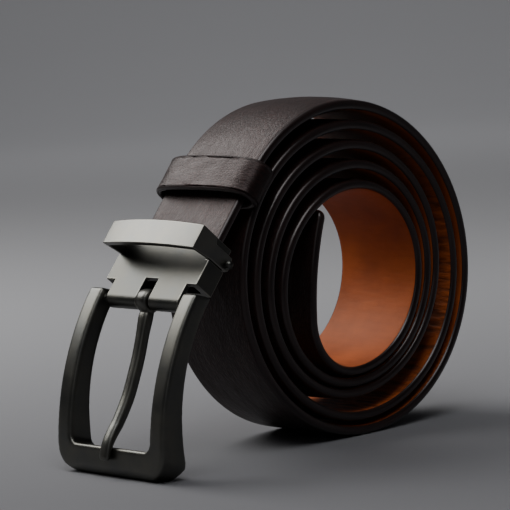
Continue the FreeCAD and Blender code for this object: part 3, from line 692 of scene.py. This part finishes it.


# ---- Clamp: a front plate, two side walls and the hinge barrel in one casting ----
# Cast in zinc, tumbled so that every edge is eased, plated dark and brushed to a satin. The
# plating is lighter along the eased edges. The strap's end is pushed in from above.

def gunmetal(name, tone, rough):
    """Satin dark plating with a fine blasted grain."""
    material, nodes, links, surface = shader(name)
    place = nodes.new("ShaderNodeTexCoord").outputs["Object"]
    blasted = noise(nodes, links, place, 6500.0, 2.0)
    clouds = noise(nodes, links, place, 120.0, 4.0)
    light = tuple(part * more for part, more in zip(tone, (1.34, 1.28, 1.18)))
    links.new(ramp(nodes, links, clouds, (0.3, tone), (0.7, light)), surface.inputs["Base Color"])
    satin = math_node(nodes, links, "MULTIPLY", clouds, 0.16)
    links.new(math_node(nodes, links, "ADD", satin, rough - 0.08), surface.inputs["Roughness"])
    links.new(bump(nodes, links, blasted, 0.00002, 0.35), surface.inputs["Normal"])
    surface.inputs["Metallic"].default_value = 1.0
    return material


satin_metal = gunmetal("gunmetal_satin", (0.080, 0.082, 0.078), 0.37)
# a lighter tone of the plating, laid on every eased edge
pale_edge_metal = gunmetal("gunmetal_rubbed_edge", (0.23, 0.23, 0.215), 0.30)
weld_gap = 2e-6
flat_angle = math.radians(0.4)
sharp_angle = math.radians(32)


def bare_mesh(shape, name):
    """Plain mesh from this shape, with one material slot's numbering and no old normals."""
    for face in shape.faces:
        face.material_index = 0
    mesh = bpy.data.meshes.new(name)
    shape.to_mesh(mesh)
    shape.free()
    for label in ("custom_normal", "UVMap"):
        if label in mesh.attributes:
            mesh.attributes.remove(mesh.attributes[label])
    return mesh


def eased(node, piece, body, radius, skin, edge_skin):
    """A part with its flat faces whole and its edges eased to this radius."""
    shape = bmesh.new()
    shape.from_mesh(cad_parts[node].data)
    bmesh.ops.remove_doubles(shape, verts=shape.verts[:], dist=weld_gap)
    bmesh.ops.dissolve_limit(shape, angle_limit=flat_angle, verts=shape.verts[:], edges=shape.edges[:])
    mesh = bare_mesh(shape, piece)
    mesh.materials.append(skin)
    mesh.materials.append(edge_skin)
    mesh.shade_smooth()
    part = bpy.data.objects.new(piece, mesh)
    bpy.context.scene.collection.objects.link(part)
    easing = part.modifiers.new("eased edges", "BEVEL")
    easing.width = radius
    easing.segments = 3
    easing.limit_method = "ANGLE"
    easing.angle_limit = sharp_angle
    easing.use_clamp_overlap = False
    easing.material = 1
    part.modifiers.new("even faces", "WEIGHTED_NORMAL")
    settled(part)
    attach(part, body)
    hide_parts(node)
    return part


eased("clamp_body", "clamp", "strap", radius=0.28 * MM,
      skin=satin_metal, edge_skin=pale_edge_metal)


# ---- Loop: the arched bar in front of the clamp, on two arms ----
# It is the clamp's lever too: cast and plated like the clamp, its plating painted a lighter tone
# as a lit copy standing in for the brighter light on the bar. It turns on the clamp's pin.

# painted light: a lighter copy of the clamp's plating, standing in for the brighter light on the bar
lit_loop_metal = gunmetal("gunmetal_worn", (0.145, 0.147, 0.140), 0.36)
eased("metal_loop", "loop", "lever", radius=0.3 * MM,
      skin=lit_loop_metal, edge_skin=pale_edge_metal)


# ---- Jaw: the toothed plate that grips the strap while the loop is down ----
# Stamped from plain steel and left unplated, hidden behind the strap. It is fixed to the loop
# and turns with it on the clamp's pin.

def plain_steel(name):
    """Rolled steel, unplated, with faint lines from the roll."""
    material, nodes, links, surface = shader(name)
    place = nodes.new("ShaderNodeTexCoord").outputs["Object"]
    rolled = noise(nodes, links, place, 900.0, 3.0, 0.5, (1.0, 0.08, 1.0))
    links.new(ramp(nodes, links, rolled, (0.3, 0.30), (0.7, 0.42)), surface.inputs["Base Color"])
    lines = math_node(nodes, links, "MULTIPLY", rolled, 0.2)
    links.new(math_node(nodes, links, "ADD", lines, 0.2), surface.inputs["Roughness"])
    surface.inputs["Metallic"].default_value = 1.0
    return material


bare_steel = plain_steel("plain_steel")
eased("toothed_jaw", "jaw", "lever", radius=0.1 * MM,
      skin=bare_steel, edge_skin=bare_steel)


# ---- Clamp pin: a short rod with a ball at each end ----
# Turned from steel and plated with the clamp. It runs through both side walls, and the loop's
# arms are held on it by its balls.

eased("clamp_pin", "pin", "lever", radius=0.06 * MM,
      skin=satin_metal, edge_skin=satin_metal)


# ---- Buckle frame: two cambered legs and a foot bar ----
# Cast in the same zinc as the clamp and tumbled for longer, so that it is softly rounded all
# over. The hinge bar holds its legs at the top.

cast_metal = gunmetal("gunmetal_cast", (0.112, 0.114, 0.108), 0.37)


def softened(shape, node, piece, body, grain, strokes, build_up):
    """A cast part soft all over: one skin of this grain, rubbed down, then built up by plating."""
    mesh = bare_mesh(shape, piece)
    mesh.materials.append(cast_metal)
    part = bpy.data.objects.new(piece, mesh)
    bpy.context.scene.collection.objects.link(part)
    skin = part.modifiers.new("one skin", "REMESH")
    skin.mode = "VOXEL"
    skin.voxel_size = grain
    skin.use_smooth_shade = True
    rub = part.modifiers.new("rubbed down", "SMOOTH")
    rub.factor = 0.5
    rub.iterations = strokes
    plating = part.modifiers.new("plating", "DISPLACE")
    plating.mid_level = 0.0
    plating.strength = build_up
    settled(part)
    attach(part, body)
    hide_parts(node)
    return part


casting = bmesh.new()
casting.from_mesh(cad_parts["buckle_frame"].data)
bmesh.ops.remove_doubles(casting, verts=casting.verts[:], dist=weld_gap)
softened(casting, "buckle_frame", "buckle", "frame", grain=0.27 * MM, strokes=45, build_up=0.28 * MM)


# ---- Hinge bar: the steel rod that the frame and the prong turn on ----
# Cut from plain round steel. It runs through the clamp's barrel and the prong's eye, and is
# pressed into the tops of the frame's legs.

eased("hinge_bar", "bar", "frame", radius=0.2 * MM,
      skin=bare_steel, edge_skin=bare_steel)


# ---- Prong: the tongue, with a round eye on the hinge bar ----
# Cast and plated like the frame. Its slim shank kinks forward to lie over the foot bar, and
# its eye turns freely in the barrel's slot.

hinge = Vector((-49.155, 0.0, 48.345)) * MM
frame_lean = math.radians(17.19)


def rounded_section(centre, along, half_depth, half_width):
    """A soft oval section across the prong at this point of its middle line."""
    sides = 20
    oval_power = 0.8
    through = Vector((-along.z, 0.0, along.x))
    ring = []
    for side in range(sides):
        angle = math.tau * side / sides
        x = squared(math.cos(angle), oval_power) * half_depth
        y = squared(math.sin(angle), oval_power) * half_width
        ring.append(centre + through * x + Vector((0, y, 0)))
    return ring


def prong_shape():
    """The prong: a round eye on the hinge bar, and a slim shank that kinks forward over the foot."""
    # down the middle line from the eye: forward, down, half depth and half width
    line = [(0.5, -2.6, 1.6, 1.8), (0.1, -4.5, 1.9, 2.1), (0.0, -7.0, 1.85, 2.05), (-0.05, -10.0, 1.75, 1.9),
            (-0.15, -16.0, 1.75, 1.85), (-0.7, -22.0, 1.75, 1.85), (-1.6, -28.5, 1.7, 1.85),
            (-3.5, -35.2, 1.6, 1.85), (-4.9, -38.6, 1.5, 1.85), (-6.0, -41.6, 1.3, 1.9),
            (-6.4, -44.2, 1.12, 1.9), (-6.4, -46.3, 1.0, 1.8), (-6.4, -47.0, 0.55, 1.3)]
    steps = 5
    shape = bmesh.new()
    stations = []
    for first, second in zip(line, line[1:]):
        before = line[max(0, line.index(first) - 1)]
        after = line[min(len(line) - 1, line.index(second) + 1)]
        for step in range(steps):
            t = step / steps
            stations.append([0.5 * (2 * b + (c - a) * t + (2 * a - 5 * b + 4 * c - d) * t * t
                                    + (3 * b - a - 3 * c + d) * t ** 3)
                             for a, b, c, d in zip(before, first, second, after)])
    stations.append(list(line[-1]))
    rings = []
    for number, (x, z, depth, width) in enumerate(stations):
        ahead = stations[min(number + 1, len(stations) - 1)]
        behind = stations[max(number - 1, 0)]
        along = Vector((ahead[0] - behind[0], 0.0, ahead[1] - behind[1])).normalized()
        ring = rounded_section(Vector((x, 0.0, z)) * MM, along, depth * MM, width * MM)
        rings.append([shape.verts.new(place) for place in ring])
    for upper, lower in zip(rings, rings[1:]):
        for side in range(len(upper)):
            after = (side + 1) % len(upper)
            shape.faces.new((upper[side], upper[after], lower[after], lower[side]))
    shape.faces.new(rings[0])
    shape.faces.new(reversed(rings[-1]))
    # the eye is turned round the hinge bar from a rounded section
    turns = 48
    sides = 16
    eye_radius = 2.5
    eye_half_wall = 1.08
    eye_half_width = 2.1
    eye_power = 0.75
    eye = []
    for turn in range(turns):
        angle = math.tau * turn / turns
        way = Vector((math.cos(angle), 0.0, math.sin(angle)))
        ring = []
        for side in range(sides):
            bend = math.tau * side / sides
            out = eye_radius + squared(math.cos(bend), eye_power) * eye_half_wall
            across = squared(math.sin(bend), eye_power) * eye_half_width
            ring.append(shape.verts.new((way * out + Vector((0, across, 0))) * MM))
        eye.append(ring)
    for turn in range(turns):
        here, following = eye[turn], eye[(turn + 1) % turns]
        for side in range(sides):
            after = (side + 1) % sides
            shape.faces.new((here[side], here[after], following[after], following[side]))
    bmesh.ops.recalc_face_normals(shape, faces=shape.faces[:])
    shape.transform(Matrix.Translation(hinge) @ Matrix.Rotation(frame_lean, 4, "Y"))
    return shape


softened(prong_shape(), "prong", "tongue", "prong", grain=0.16 * MM, strokes=5, build_up=0.03 * MM)


# ---- Staple: flat steel wire across the keeper's back ----
# Plain steel, hidden behind the strap. It holds the keeper's two ends together, and its legs are
# clenched into the leather.

eased("keeper_staple", "staple", "keeper", radius=0.08 * MM,
      skin=bare_steel, edge_skin=bare_steel)


# ---- The guides go ----

for guide in (strap_guide, keeper_guide):
    bpy.data.objects.remove(guide)
